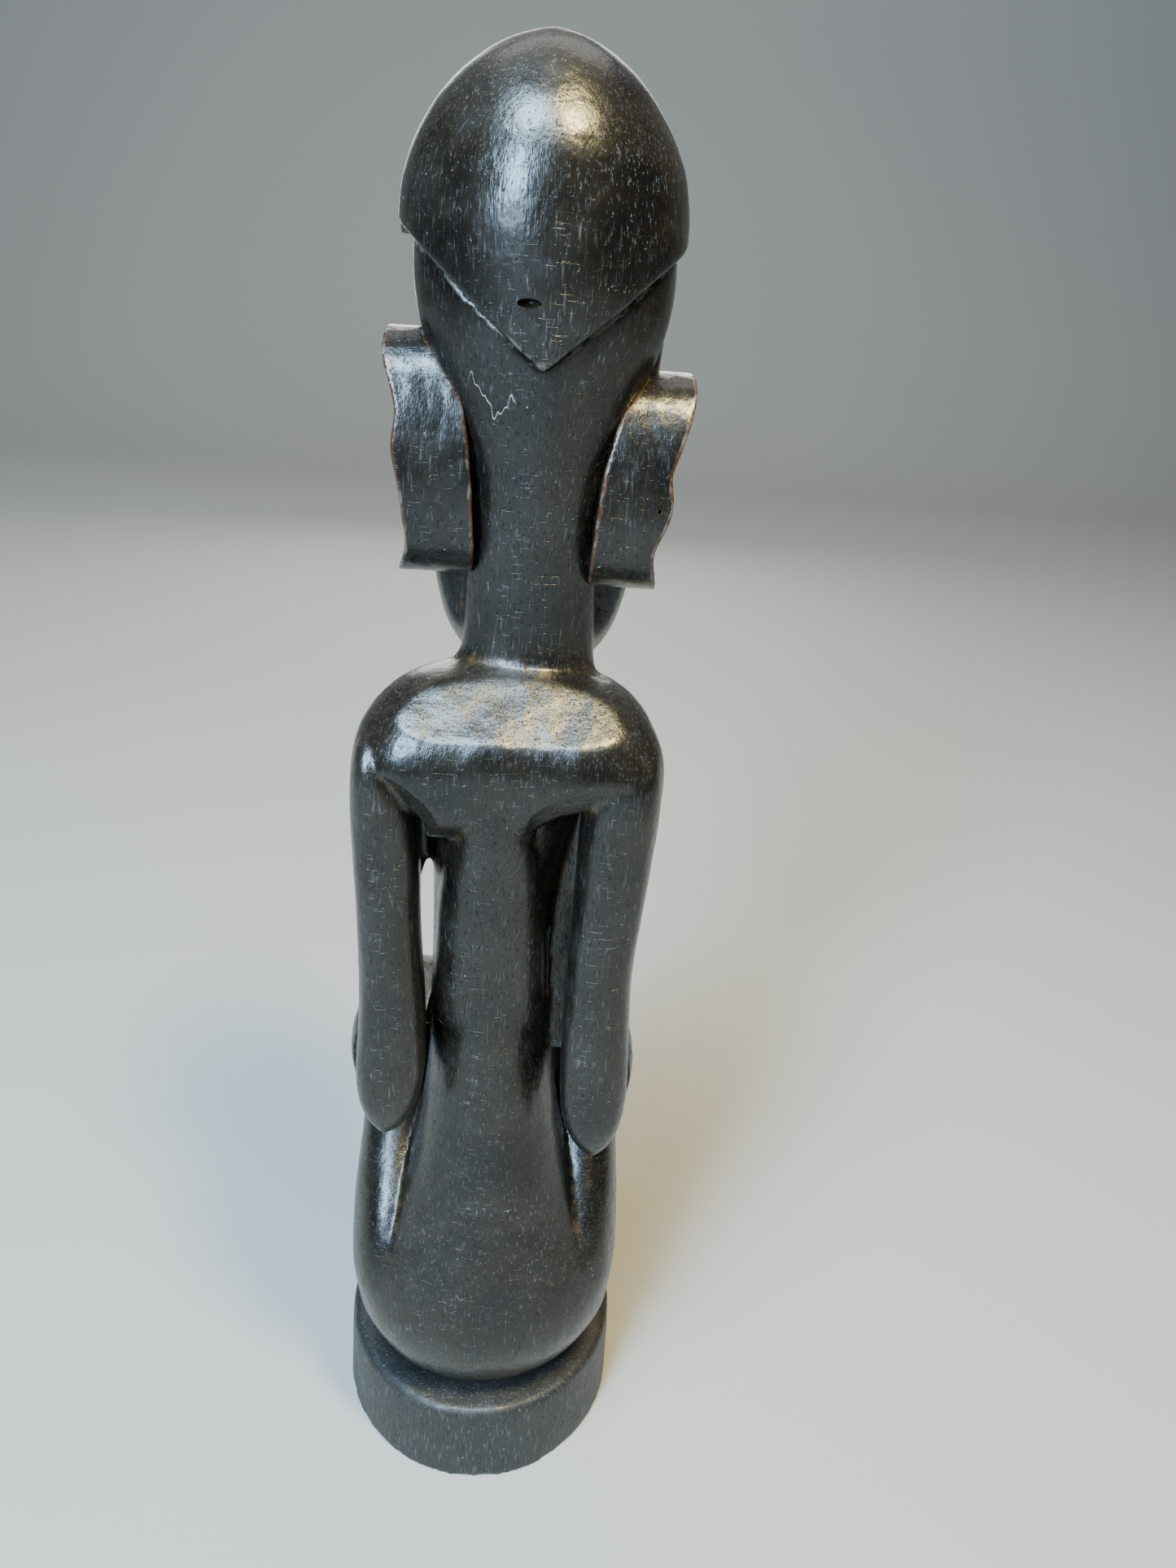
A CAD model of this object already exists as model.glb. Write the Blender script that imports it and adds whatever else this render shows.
"""The look of a carved ancestor figure of dark wood: its surfaces, carved detail, finish and light.

Metres, in the frame's own axes: +Z up, the face towards -Y, the figure's own left at +X. The carving
is blocked out from the frame's masses, fused where the knife leaves one flowing form, worked over,
and then parted again into one closed piece for each mass.
"""

import math

import bmesh
import bpy
import numpy as np
from mathutils import Matrix, Vector, kdtree


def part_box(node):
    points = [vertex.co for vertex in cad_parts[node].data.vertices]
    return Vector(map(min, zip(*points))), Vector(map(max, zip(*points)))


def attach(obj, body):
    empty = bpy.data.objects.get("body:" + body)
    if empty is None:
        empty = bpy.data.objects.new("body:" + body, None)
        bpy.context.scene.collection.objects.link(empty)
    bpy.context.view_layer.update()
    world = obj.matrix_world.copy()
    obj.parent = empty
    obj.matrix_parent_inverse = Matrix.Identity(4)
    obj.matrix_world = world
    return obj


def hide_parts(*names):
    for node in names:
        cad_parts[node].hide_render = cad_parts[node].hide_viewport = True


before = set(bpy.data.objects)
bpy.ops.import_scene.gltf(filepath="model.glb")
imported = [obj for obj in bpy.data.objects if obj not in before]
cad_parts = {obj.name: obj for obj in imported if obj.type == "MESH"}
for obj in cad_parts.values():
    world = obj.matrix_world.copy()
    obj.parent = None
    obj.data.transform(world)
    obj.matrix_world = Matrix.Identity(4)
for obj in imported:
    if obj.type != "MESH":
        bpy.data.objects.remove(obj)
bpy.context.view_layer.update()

MM = 0.001

# The grids that the masses are rebuilt on before they are worked over
FINE_GRID = 0.5 * MM
EAR_GRID = 0.3 * MM
PLINTH_GRID = 0.6 * MM
CUTTER_GRID = 0.7 * MM

# How much the masses grow before they are fused, and before they part the fused carving again
OVERLAP = 0.2 * MM
CUTTER_MARGIN = 1.0 * MM
SAME_POINT = 0.001 * MM

# Rounds of rubbing down: the whole body, the crisp cap, the ears and the plinth
BODY_ROUNDS = 4
CAP_ROUNDS = 10
EAR_ROUNDS = 6
PLINTH_ROUNDS = 6
RUBBING = 0.5

# Where the knife leaves flowing forms: the middle and the reach of each place, in mm, and its rounds
SOFTENED = {
    "shoulders": ((-2.0, 12.0, 196.0), (27.0, 28.0, 15.0), 60),
    "spine": ((1.5, 18.0, 145.0), (13.0, 16.0, 24.0), 60),
    "small of the back": ((1.5, 20.0, 118.0), (15.0, 16.0, 22.0), 90),
    "seat": ((0.0, 20.0, 46.0), (36.0, 20.0, 22.0), 60),
    "left armpit": ((15.5, -1.0, 158.0), (8.0, 12.0, 22.0), 80),
    "right web": ((-14.0, -1.0, 140.0), (7.0, 9.0, 40.0), 40),
    "left cheek": ((9.4, -22.0, 228.6), (10.0, 10.0, 13.0), 220),
    "right cheek": ((-15.4, -22.0, 228.6), (10.0, 10.0, 13.0), 220),
}

# Cuts made with a ball-shaped tool, in mm: its middle and its half sizes along X, Y and Z.
# Those of the face are made on both sides of the face's own middle.
EYE_LINE = ((9.2, -24.0, 242.0), (4.6, 1.7, 0.42))
NOSTRIL = ((2.2, -29.4, 222.6), (1.0, 1.2, 1.3))
LIP_LINE = ((0.0, -25.8, 210.5), (5.8, 1.7, 0.42))
CAP_SLOT = ((0.0, 24.6, 261.6), (1.9, 2.6, 0.75))
EAR_PINHOLE = ((-24.2, 13.4, 229.0), (0.4, 2.0, 0.4))

# How sharply an edge has to bend to be rubbed pale, and a hollow to hold dust, as one over the
# bend's radius in mm: where it starts to show, and how much more makes it full
RUBBED_BEND, RUBBED_SPAN = 0.24, 0.30
HOLLOW_BEND, HOLLOW_SPAN = 0.03, 0.22
BEND_ROUNDS = 12
MARKS = ("rubbed", "hollow")
CREASE = math.radians(50)

# The heights at which the trunk is parted, and how far the cuts reach past it and above its head
WAIST_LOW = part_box("abdomen")[0].z
WAIST_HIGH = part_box("chest")[0].z
NECK_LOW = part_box("neck")[0].z
NECK_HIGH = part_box("neck")[1].z
ALL_ROUND = 0.2
OVERHEAD = 0.4

LIMBS = ("hand", "foot", "forearm", "upper_arm", "shin", "thigh")
SIDES = ("left", "right")
BODY_NODES = ["pelvis", "abdomen", "chest", "neck", "skull", "face"]
BODY_NODES += [f"{limb}_{side}" for limb in LIMBS for side in SIDES]


# --- Mesh work ----------------------------------------------------------------------------------


def new_object(name, bm):
    """An object from a bmesh, which is freed."""
    mesh = bpy.data.meshes.new(name)
    bm.to_mesh(mesh)
    bm.free()
    piece = bpy.data.objects.new(name, mesh)
    bpy.context.scene.collection.objects.link(piece)
    return piece


def discard(piece):
    """Removes an object and its mesh."""
    mesh = piece.data
    bpy.data.objects.remove(piece)
    bpy.data.meshes.remove(mesh)


def modifier(piece, kind, **settings):
    """Adds a modifier and applies it at once."""
    added = piece.modifiers.new(kind.lower(), kind)
    for name, value in settings.items():
        setattr(added, name, value)
    bpy.context.view_layer.update()
    graph = bpy.context.evaluated_depsgraph_get()
    made = bpy.data.meshes.new_from_object(piece.evaluated_get(graph))
    old = piece.data
    piece.modifiers.clear()
    piece.data = made
    bpy.data.meshes.remove(old)
    made.name = piece.name


def swollen(bm, by):
    """Moves every vertex out along its normal."""
    bm.normal_update()
    for vertex in bm.verts:
        vertex.co += vertex.normal * by


def mass_of(nodes, swell):
    """A bmesh of the named masses, each a closed shell a little swollen."""
    whole = bmesh.new()
    for node in nodes:
        part = bmesh.new()
        part.from_mesh(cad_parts[node].data)
        bmesh.ops.remove_doubles(part, verts=part.verts, dist=SAME_POINT)
        swollen(part, swell)
        mesh = bpy.data.meshes.new("part")
        part.to_mesh(mesh)
        part.free()
        whole.from_mesh(mesh)
        bpy.data.meshes.remove(mesh)
    return whole


def remeshed(piece, grid):
    """Rebuilds a piece as one closed skin on an even grid."""
    modifier(piece, "REMESH", mode="VOXEL", voxel_size=grid, use_smooth_shade=True)


def rubbed_down(piece, rounds, **settings):
    modifier(piece, "SMOOTH", factor=RUBBING, iterations=rounds, **settings)


def boolean(piece, other, operation):
    modifier(piece, "BOOLEAN", object=other, operation=operation, solver="MANIFOLD")


def copy_of(piece, name):
    twin = bpy.data.objects.new(name, piece.data.copy())
    bpy.context.scene.collection.objects.link(twin)
    return twin


def slab(low, high):
    """A block that reaches past the carving on all sides, from one height to another."""
    low = Vector((-ALL_ROUND, -ALL_ROUND, low))
    high = Vector((ALL_ROUND, ALL_ROUND, high))
    bm = bmesh.new()
    bmesh.ops.create_cube(bm, size=1.0)
    bmesh.ops.scale(bm, vec=high - low, verts=bm.verts)
    bmesh.ops.translate(bm, vec=(high + low) / 2, verts=bm.verts)
    return new_object("slab", bm)


def ball(bm, centre, half_sizes):
    """Adds a ball stretched to its half sizes along X, Y and Z."""
    made = bmesh.ops.create_uvsphere(bm, u_segments=48, v_segments=24, radius=1.0)["verts"]
    bmesh.ops.scale(bm, vec=half_sizes, verts=made)
    bmesh.ops.translate(bm, vec=centre, verts=made)


def without_crumbs(piece):
    """Drops loose crumbs that a cut leaves, and keeps the piece itself."""
    bm = bmesh.new()
    bm.from_mesh(piece.data)
    left = set(bm.verts)
    islands = []
    while left:
        stack = [left.pop()]
        island = list(stack)
        while stack:
            for edge in stack.pop().link_edges:
                for vertex in edge.verts:
                    if vertex in left:
                        left.discard(vertex)
                        stack.append(vertex)
                        island.append(vertex)
        islands.append(island)
    largest = max(islands, key=len)
    for island in islands:
        if island is not largest:
            bmesh.ops.delete(bm, geom=island, context="VERTS")
    bm.to_mesh(piece.data)
    bm.free()


# --- Relief: where the surface stands proud and where it is hollow -------------------------------


def relief(mesh, rounds):
    """How far each vertex stands out of the surface that its surroundings make, in metres."""
    count = len(mesh.vertices)
    points = np.empty(count * 3)
    normals = np.empty(count * 3)
    ends = np.empty(len(mesh.edges) * 2, dtype=np.int32)
    mesh.vertices.foreach_get("co", points)
    mesh.vertices.foreach_get("normal", normals)
    mesh.edges.foreach_get("vertices", ends)
    points, normals = points.reshape(-1, 3), normals.reshape(-1, 3)
    one, other = ends[0::2], ends[1::2]
    degree = np.maximum(np.bincount(ends, minlength=count), 1)
    smooth = points.copy()
    for _ in range(rounds):
        for axis in range(3):
            column = smooth[:, axis]
            total = np.bincount(one, column[other], count) + np.bincount(other, column[one], count)
            smooth[:, axis] = total / degree
    return ((points - smooth) * normals).sum(axis=1)


def set_attribute(mesh, name, values):
    """Stores one number for each vertex."""
    layer = mesh.attributes.get(name) or mesh.attributes.new(name, "FLOAT", "POINT")
    layer.data.foreach_set("value", values.astype(np.float32))


def mark_wear(mesh, grid):
    """Stores where hands rub the carving and where dust settles, as two attributes from 0 to 1.
    Both come from how sharply the surface bends."""
    bend = relief(mesh, BEND_ROUNDS) * MM / (BEND_ROUNDS * grid**2 / 4)
    set_attribute(mesh, "rubbed", np.clip((bend - RUBBED_BEND) / RUBBED_SPAN, 0, 1))
    set_attribute(mesh, "hollow", np.clip((-bend - HOLLOW_BEND) / HOLLOW_SPAN, 0, 1))


# --- The carving --------------------------------------------------------------------------------


def knife_work(piece, size, depth, stretch):
    """The gentle unevenness that a knife leaves, drawn out along Z."""
    guide = bpy.data.objects.new("guide", None)
    guide.scale = (1.0, 1.0, stretch)
    bpy.context.scene.collection.objects.link(guide)
    texture = bpy.data.textures.new("knife", "CLOUDS")
    texture.noise_scale = size
    texture.noise_depth = 1
    modifier(
        piece,
        "DISPLACE",
        texture=texture,
        texture_coords="OBJECT",
        texture_coords_object=guide,
        strength=depth,
        mid_level=0.5,
    )
    bpy.data.objects.remove(guide)


def soften(piece, centre, reach, rounds):
    """Rubs the surface smooth inside a stretched ball, most at its middle."""
    group = piece.vertex_groups.new(name="soft")
    for vertex in piece.data.vertices:
        away = vertex.co - centre
        distance = Vector((away.x / reach.x, away.y / reach.y, away.z / reach.z)).length
        if distance < 1.0:
            group.add([vertex.index], min(1.0, 3.0 * (1.0 - distance)), "REPLACE")
    rubbed_down(piece, rounds, vertex_group=group.name)
    piece.vertex_groups.clear()


def carved_body():
    """All the masses but the cap, ears and plinth, as one flowing form."""
    body = new_object("body", mass_of(BODY_NODES, OVERLAP))
    remeshed(body, FINE_GRID)
    rubbed_down(body, BODY_ROUNDS)
    for centre, reach, rounds in SOFTENED.values():
        soften(body, Vector(centre) * MM, Vector(reach) * MM, rounds)
    knife_work(body, size=9.0 * MM, depth=0.5 * MM, stretch=3.5)
    knife_work(body, size=3.0 * MM, depth=0.14 * MM, stretch=2.5)
    carve_face(body)
    return body


def cutter_for(node):
    """A mass grown enough to take its own part out of the fused carving."""
    cutter = new_object("cutter", mass_of([node], CUTTER_MARGIN))
    remeshed(cutter, CUTTER_GRID)
    return cutter


def take(rest, cutter, name):
    """Parts a named piece from the rest: what lies inside the cutter."""
    piece = copy_of(rest, name)
    boolean(piece, cutter, "INTERSECT")
    boolean(rest, cutter, "DIFFERENCE")
    discard(cutter)
    without_crumbs(piece)
    return piece


def parted(body):
    """The carved body as one closed piece for each mass."""
    made = {}
    for limb in LIMBS:
        for side in SIDES:
            node = f"{limb}_{side}"
            made[node] = take(body, cutter_for(node), node)
    made["face"] = take(body, cutter_for("face"), "face")
    for node, low, high in (
        ("skull", NECK_HIGH, OVERHEAD),
        ("neck", NECK_LOW, NECK_HIGH),
        ("chest", WAIST_HIGH, NECK_LOW),
        ("abdomen", WAIST_LOW, WAIST_HIGH),
    ):
        made[node] = take(body, slab(low, high), node)
    without_crumbs(body)
    body.name = "pelvis"
    made["pelvis"] = body
    return made


def cut(piece, balls):
    """Cuts ball-shaped hollows into a piece: the middle and half sizes of each, in metres."""
    cuts = bmesh.new()
    for centre, half_sizes in balls:
        ball(cuts, centre, half_sizes)
    tool = new_object("tool", cuts)
    boolean(piece, tool, "DIFFERENCE")
    discard(tool)


def carve_face(body):
    """The calm closed eyes, the nostrils and the line of the lips."""
    middle = (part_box("face")[0].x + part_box("face")[1].x) / 2

    def on_face(mark, side):
        (across, depth, height), half_sizes = mark
        centre = Vector((middle + side * across * MM, depth * MM, height * MM))
        return centre, [size * MM for size in half_sizes]

    paired = [on_face(mark, side) for side in (-1, 1) for mark in (EYE_LINE, NOSTRIL)]
    cut(body, paired + [on_face(LIP_LINE, 1)])


def pierce(piece, mark):
    """A small hole or slot."""
    centre, half_sizes = mark
    cut(piece, [(Vector(centre) * MM, Vector(half_sizes) * MM)])


def separate_mass(node, grid, rounds):
    """A mass that keeps its own crisp outline, such as the cap."""
    piece = new_object(node, mass_of([node], 0.0))
    remeshed(piece, grid)
    rubbed_down(piece, rounds)
    return piece


# --- Shader nodes -------------------------------------------------------------------------------


class Value:
    """A number on a shader socket. Arithmetic on it adds Math nodes."""

    def __init__(self, nodes, socket):
        self.nodes, self.socket = nodes, socket

    def math(self, operation, *others, clamp=False):
        return self.nodes.add("Math", {"operation": operation, "use_clamp": clamp}, self, *others)

    def __add__(self, other):
        return self.math("ADD", other)

    def __sub__(self, other):
        return self.math("SUBTRACT", other)

    def __rsub__(self, other):
        return self.nodes.add("Math", {"operation": "SUBTRACT"}, other, self)

    def __mul__(self, other):
        return self.math("MULTIPLY", other)

    def __abs__(self):
        return self.math("ABSOLUTE")

    __radd__ = __add__
    __rmul__ = __mul__

    def over(self, low, high):
        """0 below low, 1 above high, and smooth between."""
        smooth = {"interpolation_type": "SMOOTHSTEP"}
        return self.nodes.add("MapRange", smooth, self, low, high, 0.0, 1.0)

    def clamped(self):
        """The same number, kept from 0 to 1."""
        return self.math("ADD", 0.0, clamp=True)


class Nodes:
    """A material's node tree."""

    def __init__(self, name):
        self.material = bpy.data.materials.new(name)
        self.material.use_nodes = True
        self.tree = self.material.node_tree
        self.shader = self.tree.nodes["Principled BSDF"]

    def plug(self, socket, value):
        """Gives a socket a constant, or links it to what feeds it."""
        if isinstance(value, Value):
            self.tree.links.new(value.socket, socket)
        else:
            socket.default_value = value

    def add(self, kind, settings=None, *inputs, output=0, **named):
        """A node of a kind with its settings, then its sockets by order or by name."""
        node = self.tree.nodes.new("ShaderNode" + kind)
        for name, value in (settings or {}).items():
            setattr(node, name, value)
        for socket, value in zip(node.inputs, inputs):
            self.plug(socket, value)
        for name, value in named.items():
            self.plug(node.inputs[name.replace("_", " ")], value)
        return Value(self, node.outputs[output])

    def mix(self, mask, first, second):
        """A colour from first to second as mask goes from 0 to 1."""
        return self.add("Mix", {"data_type": "RGBA"}, output=2, Factor=mask, A=first, B=second)

    def place(self):
        """The point on the object, in millimetres."""
        point = self.add("TexCoord", output=3)
        return self.add("VectorMath", {"operation": "SCALE"}, point, Scale=1000.0)

    def stretched(self, point, along):
        """The point with X, Y and Z each scaled, so that a pattern on it is drawn out."""
        return self.add("VectorMath", {"operation": "MULTIPLY"}, point, along)

    def parts(self, point):
        """The X, Y and Z of a vector."""
        first = self.add("SeparateXYZ", None, point)
        return [Value(self, output) for output in first.socket.node.outputs]

    def noise(self, point, scale, detail, roughness):
        return self.add("TexNoise", None, Vector=point, Scale=scale, Detail=detail, Roughness=roughness)

    def attribute(self, name):
        return self.add("Attribute", {"attribute_name": name}, output=2)

    def bump(self, height, distance, strength):
        return self.add("Bump", None, Strength=strength, Distance=distance, Height=height)


def rgb(red, green, blue):
    return (red, green, blue, 1.0)


BLACK_BROWN = rgb(0.0022, 0.0019, 0.0017)
WARM_BROWN = rgb(0.0068, 0.0050, 0.0030)
DUSTY_GREY = rgb(0.021, 0.0218, 0.0225)
STREAK_GREY = rgb(0.100, 0.100, 0.094)
OPEN_PORE = rgb(0.0010, 0.0009, 0.0008)
RED_BROWN = rgb(0.070, 0.022, 0.007)
OCHRE = rgb(0.060, 0.037, 0.013)
PALE_WORN = rgb(0.17, 0.15, 0.12)
WHITE_SPECK = rgb(0.36, 0.35, 0.32)
FLOOR_GREY = rgb(0.29, 0.285, 0.27)
SKY_GREY = rgb(0.80, 0.84, 0.90)

# How the wood's patterns are drawn out, as repeats for each millimetre along X, Y and Z
GRAIN = (1.5, 1.5, 0.10)
FIBRE = (4.5, 4.5, 0.30)
PORES = (2.7, 2.7, 0.75)
STREAKS = (2.3, 2.3, 0.26)
HAMMERED = (0.55, 0.55, 0.385)
SCRATCHES = (0.30, 0.30, 3.6)
WAVE = (0.30, 0.0, 0.05)

# The satin of the finish
RELIEF_DEPTH = 0.14 * MM
RELIEF_STRENGTH = 0.8
SPECULAR = 0.42
COAT = 0.12
COAT_ROUGHNESS = 0.16
FLOOR_ROUGHNESS = 0.85

# The dusty tip of the cap, in mm: the heights over which the dust fades out, and the depths over
# which it sets in towards the back
TIP_TOP = (250.0, 264.0)
TIP_BACK = (4.0, 14.0)

# The scratch on the back of the head, in mm: its height, how far it wavers, how its edge fades, and
# where it starts and ends
SCRATCH_HEIGHT = 247.5
SCRATCH_WAVER = 26.0
SCRATCH_EDGE = (0.08, 0.26)
SCRATCH_START = (1.0, 2.5)
SCRATCH_END = (8.0, 10.0)
SCRATCH_BACK = (0.0, 4.0)


def tip_dust(y, z, patches):
    """Dust that lies on the back of the cap, below its swell."""
    return (1.0 - z.over(*TIP_TOP)) * y.over(*TIP_BACK) * patches.over(0.4, 0.6)


def hairline_scratch(n, point, x, y, z):
    """One thin, wavering scratch across the back of the head, at the figure's left."""
    wave = n.noise(n.stretched(point, WAVE), 1.0, 2.0, 0.6)
    off = abs(z - SCRATCH_HEIGHT + (wave - 0.5) * SCRATCH_WAVER)
    across = x.over(*SCRATCH_START) * (1.0 - x.over(*SCRATCH_END))
    return (1.0 - off.over(*SCRATCH_EDGE)) * across * y.over(*SCRATCH_BACK)


def dark_wood(
    name,
    dusty=0.0,
    gloss=0.20,
    scratched=0.5,
    red_edges=0.0,
    worn_edges=0.6,
    dusty_tip=0.0,
    hairline=0.0,
):
    """Ebonised hardwood, rubbed to a satin: grain and open pores run along Z, dust lies in hollows
    and pores, and edges are rubbed pale. The arguments say how strong each of these is."""
    n = Nodes(name)
    point = n.place()
    x, y, z = n.parts(point)
    grain = n.noise(n.stretched(point, GRAIN), 1.0, 4.0, 0.6)
    fibre = n.noise(n.stretched(point, FIBRE), 1.0, 2.0, 0.5)
    pores = n.noise(n.stretched(point, PORES), 1.0, 1.0, 0.4).over(0.65, 0.72)
    streaks = n.noise(n.stretched(point, STREAKS), 1.0, 2.0, 0.55).over(0.57, 0.74)
    clouds = n.noise(point, 0.07, 4.0, 0.6)
    patches = n.noise(point, 0.30, 5.0, 0.62)
    hammered = n.noise(n.stretched(point, HAMMERED), 1.0, 2.0, 0.5)
    specks = n.noise(point, 1.25, 2.0, 0.5).over(0.765, 0.79)
    rubbed = n.attribute("rubbed")
    hollow = n.attribute("hollow")

    dust = (clouds.over(0.45, 0.75) * 0.40 + patches.over(0.50, 0.80) * 0.30 + dusty).clamped()
    if dusty_tip:
        dust = (dust + tip_dust(y, z, patches) * dusty_tip).clamped()
    colour = n.mix(clouds.over(0.30, 0.55), BLACK_BROWN, WARM_BROWN)
    colour = n.mix((dust * (0.35 + grain * 0.7)).clamped(), colour, DUSTY_GREY)
    colour = n.mix((streaks * (0.25 + dust) * 0.85).clamped(), colour, STREAK_GREY)
    colour = n.mix((hollow * patches.over(0.42, 0.60) * 0.45).clamped(), colour, OCHRE)
    colour = n.mix(pores * 0.8, colour, OPEN_PORE)
    edge = (rubbed * (0.55 + patches)).over(0.35, 0.95)
    if red_edges:
        colour = n.mix((edge * red_edges).clamped(), colour, RED_BROWN)
    colour = n.mix((edge * patches.over(0.44, 0.60) * worn_edges).clamped(), colour, PALE_WORN)
    colour = n.mix(specks * 0.7, colour, WHITE_SPECK)
    if hairline:
        thread = hairline_scratch(n, point, x, y, z)
        colour = n.mix((thread * hairline).clamped(), colour, WHITE_SPECK)
    n.plug(n.shader.inputs["Base Color"], colour)

    roughness = gloss + dust * 0.20 + (1.0 - fibre) * 0.08 + pores * 0.3 + patches * 0.06
    n.plug(n.shader.inputs["Roughness"], roughness.clamped())

    scratches = n.noise(n.stretched(point, SCRATCHES), 1.0, 1.0, 0.4).over(0.68, 0.74)
    height = grain * 0.5 + fibre * 0.3 - pores * 1.3 + hammered * 1.1 - scratches * scratched
    n.plug(n.shader.inputs["Normal"], n.bump(height, RELIEF_DEPTH, RELIEF_STRENGTH))
    n.plug(n.shader.inputs["Specular IOR Level"], SPECULAR)
    n.plug(n.shader.inputs["Coat Weight"], COAT)
    n.plug(n.shader.inputs["Coat Roughness"], COAT_ROUGHNESS)
    return n.material


def plain_floor():
    n = Nodes("pale_floor")
    n.plug(n.shader.inputs["Base Color"], FLOOR_GREY)
    n.plug(n.shader.inputs["Roughness"], FLOOR_ROUGHNESS)
    return n.material


# --- Studio -------------------------------------------------------------------------------------

# The floor, in metres: how far it goes to both sides and behind the figure, where it starts to
# curve up, the radius and steps of that curve, and the height of the wall
FLOOR_REACH = 2.4
CURVE_START = -1.1
CURVE_RADIUS = 0.5
CURVE_STEPS = 12
WALL_TOP = 1.8

# The lamps: place, what they point at, width and height, watts, and colour
LAMPS = {
    "cool_window": ((0.34, 0.62, 0.62), (0, 0, 0.18), (0.20, 0.50), 26.0, (0.50, 0.74, 1.0)),
    "cool_skylight": ((0.17, 0.28, 0.95), (0, 0, 0.20), (0.30, 0.22), 18.0, (0.54, 0.77, 1.0)),
    "warm_lamp": ((-0.20, 0.24, 0.92), (0, 0, 0.20), (0.12, 0.16), 16.0, (1.0, 0.80, 0.36)),
    "front_fill": ((0.02, -0.80, 0.34), (0, 0, 0.16), (0.40, 0.36), 2.5, (1.0, 0.97, 0.92)),
    "backdrop": ((0.0, -0.90, 1.30), (0, -0.8, 0.0), (1.2, 0.8), 5.0, (1.0, 0.98, 0.94)),
}
SKY_STRENGTH = 0.10

# The camera stands behind the figure and looks down at its back, leaning slightly
CAMERA_PLACE = (0.0, 0.2164, 0.2757)
CAMERA_LENS = 27.03
CAMERA_DOWN = math.radians(26.14)
CAMERA_TURN = math.radians(-4.41)
CAMERA_LEAN = math.radians(4.66)
CAMERA_NEAREST = 0.01


def sweep():
    """A pale floor that curves up into a wall, far beyond the figure's face."""
    bm = bmesh.new()
    corners = [(FLOOR_REACH, 0.0), (CURVE_START, 0.0)]
    for i in range(1, CURVE_STEPS + 1):
        angle = math.pi / 2 * i / CURVE_STEPS
        rise = CURVE_RADIUS * (1 - math.cos(angle))
        corners.append((CURVE_START - CURVE_RADIUS * math.sin(angle), rise))
    corners.append((CURVE_START - CURVE_RADIUS, WALL_TOP))
    profile = [bm.verts.new((-FLOOR_REACH, y, z)) for y, z in corners]
    edges = [bm.edges.new(pair) for pair in zip(profile, profile[1:])]
    swept = bmesh.ops.extrude_edge_only(bm, edges=edges)["geom"]
    moved = [item for item in swept if isinstance(item, bmesh.types.BMVert)]
    bmesh.ops.translate(bm, vec=(2 * FLOOR_REACH, 0, 0), verts=moved)
    bmesh.ops.recalc_face_normals(bm, faces=bm.faces)
    for face in bm.faces:
        face.smooth = True
    floor = new_object("floor", bm)
    floor.data.materials.append(plain_floor())


def lamp(name, place, target, size, watts, colour):
    """A soft rectangular lamp that points at its target."""
    light = bpy.data.lights.new(name, "AREA")
    light.shape = "RECTANGLE"
    light.size, light.size_y = size
    light.energy = watts
    light.color = colour
    stand = bpy.data.objects.new(name, light)
    stand.location = place
    stand.rotation_euler = (Vector(target) - Vector(place)).to_track_quat("-Z", "Y").to_euler()
    bpy.context.scene.collection.objects.link(stand)


def studio():
    """The floor, soft light from both sides, and a faint sky."""
    sweep()
    for name, settings in LAMPS.items():
        lamp(name, *settings)
    world = bpy.data.worlds.new("studio")
    world.use_nodes = True
    background = world.node_tree.nodes["Background"]
    background.inputs["Color"].default_value = SKY_GREY
    background.inputs["Strength"].default_value = SKY_STRENGTH
    bpy.context.scene.world = world


def camera():
    """Sets the camera in its place and aims it."""
    data = bpy.data.cameras.new("camera")
    data.lens = CAMERA_LENS
    data.clip_start = CAMERA_NEAREST
    stand = bpy.data.objects.new("camera", data)
    level, drop = math.cos(CAMERA_DOWN), math.sin(CAMERA_DOWN)
    sight = Vector((math.sin(CAMERA_TURN) * level, -math.cos(CAMERA_TURN) * level, -drop))
    aim = sight.to_track_quat("-Z", "Y").to_matrix() @ Matrix.Rotation(CAMERA_LEAN, 3, "Z")
    stand.matrix_world = Matrix.Translation(CAMERA_PLACE) @ aim.to_4x4()
    bpy.context.scene.collection.objects.link(stand)
    bpy.context.scene.camera = stand


# --- Putting it together ------------------------------------------------------------------------


def finish_piece(piece, node, material):
    """Gives a piece its finish, and puts it in its mass's place."""
    piece.data.materials.clear()
    piece.data.materials.append(material)
    piece.data.shade_smooth()
    piece.data.set_sharp_from_angle(angle=CREASE)
    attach(piece, "root")
    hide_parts(node)


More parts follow.
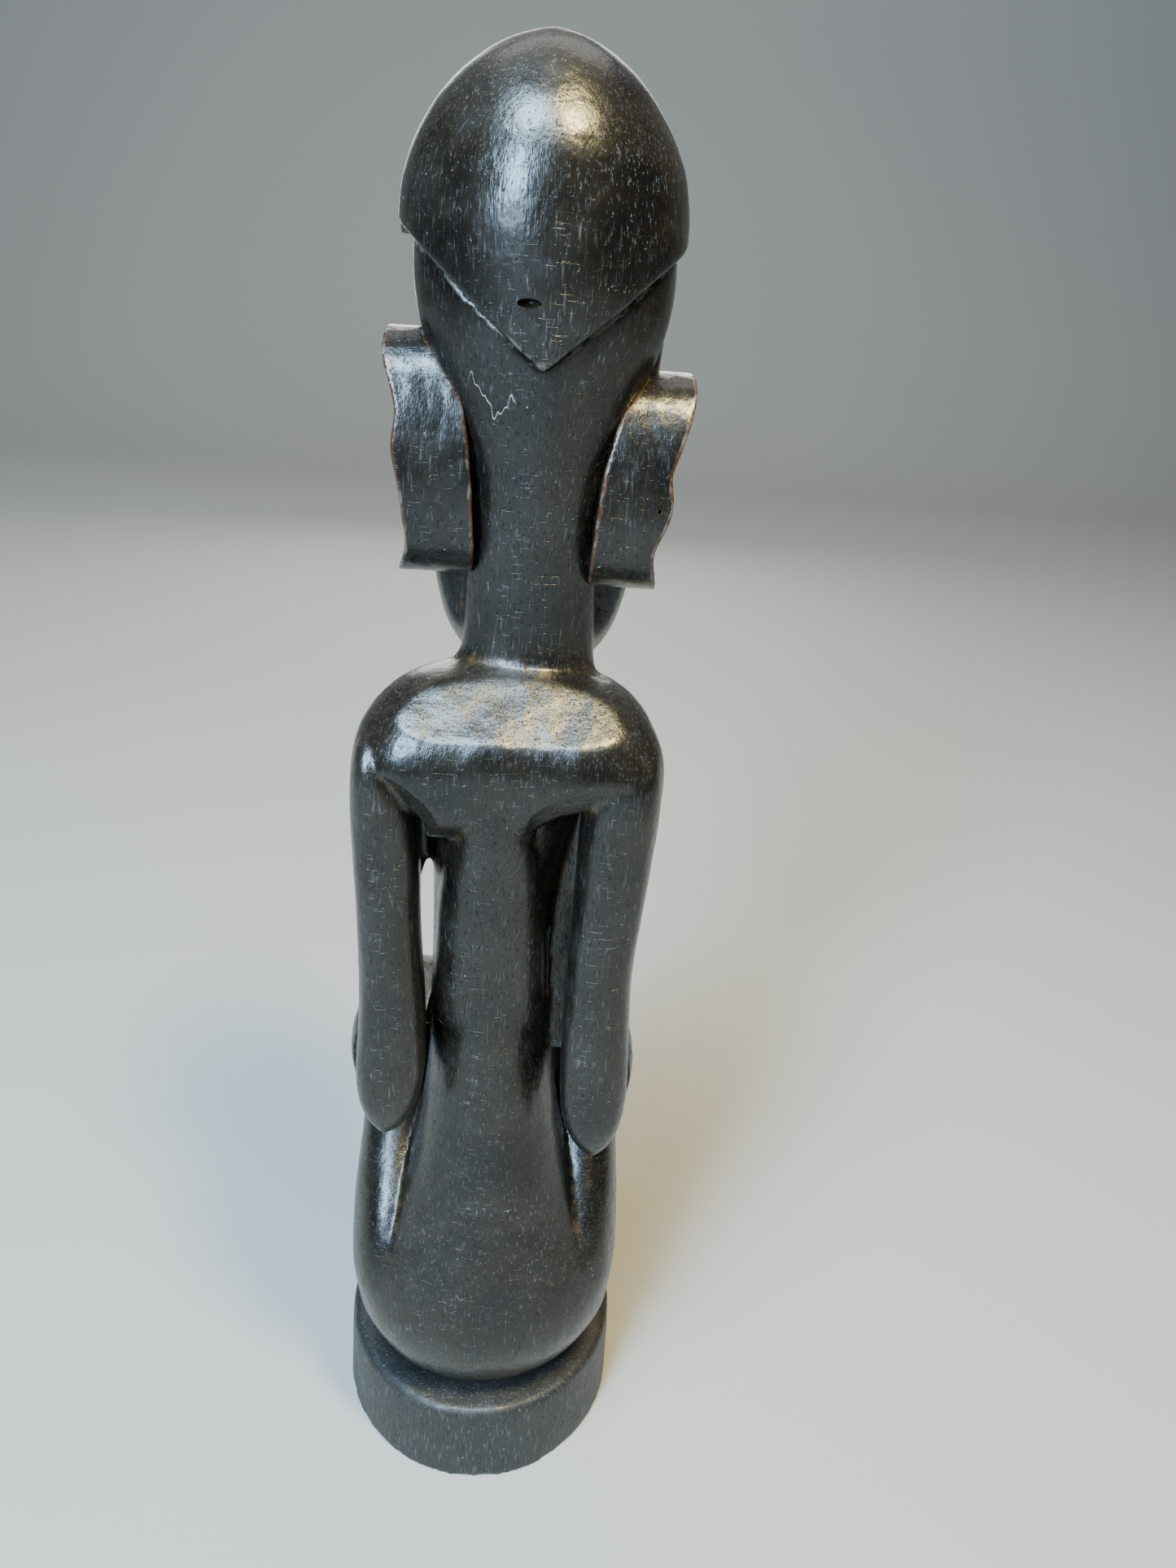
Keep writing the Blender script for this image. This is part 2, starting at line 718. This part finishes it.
def spread_marks(source, pieces):
    """Copies the wear marks of the whole body to the pieces that were parted from it."""
    tree = kdtree.KDTree(len(source.vertices))
    for i, vertex in enumerate(source.vertices):
        tree.insert(vertex.co, i)
    tree.balance()
    marks = {}
    for name in MARKS:
        marks[name] = np.empty(len(source.vertices), dtype=np.float32)
        source.attributes[name].data.foreach_get("value", marks[name])
    for piece in pieces:
        near = np.array([tree.find(vertex.co)[1] for vertex in piece.data.vertices])
        for name, values in marks.items():
            set_attribute(piece.data, name, values[near])


def trunk_and_limbs():
    """The carved trunk, head and limbs, parted into their masses."""
    body = carved_body()
    mark_wear(body.data, FINE_GRID)
    marked = body.data.copy()
    pieces = parted(body)
    spread_marks(marked, pieces.values())
    bpy.data.meshes.remove(marked)
    wood = dark_wood("dark_wood", hairline=0.8)
    for node, piece in pieces.items():
        finish_piece(piece, node, wood)


def hair_cap():
    """The polished cap with its slot."""
    cap = separate_mass("hair_cap", FINE_GRID, CAP_ROUNDS)
    knife_work(cap, size=9.0 * MM, depth=0.4 * MM, stretch=1.0)
    pierce(cap, CAP_SLOT)
    mark_wear(cap.data, FINE_GRID)
    wood = dark_wood("polished_wood", gloss=0.18, scratched=1.0, dusty_tip=0.8)
    finish_piece(cap, "hair_cap", wood)


def ears():
    """Both ears, with a pin hole in the right one."""
    wood = dark_wood("rubbed_wood", red_edges=0.55, worn_edges=0.35)
    for side in SIDES:
        ear = separate_mass(f"ear_{side}", EAR_GRID, EAR_ROUNDS)
        knife_work(ear, size=4.0 * MM, depth=0.35 * MM, stretch=2.0)
        if side == "right":
            pierce(ear, EAR_PINHOLE)
        mark_wear(ear.data, EAR_GRID)
        finish_piece(ear, f"ear_{side}", wood)


def plinth():
    """The round base, the roughest of the carved faces."""
    base = separate_mass("plinth", PLINTH_GRID, PLINTH_ROUNDS)
    knife_work(base, size=8.0 * MM, depth=0.7 * MM, stretch=1.5)
    mark_wear(base.data, PLINTH_GRID)
    wood = dark_wood("worn_wood", dusty=0.40, gloss=0.40, worn_edges=0.9)
    finish_piece(base, "plinth", wood)


camera()
studio()
trunk_and_limbs()
hair_cap()
ears()
plinth()
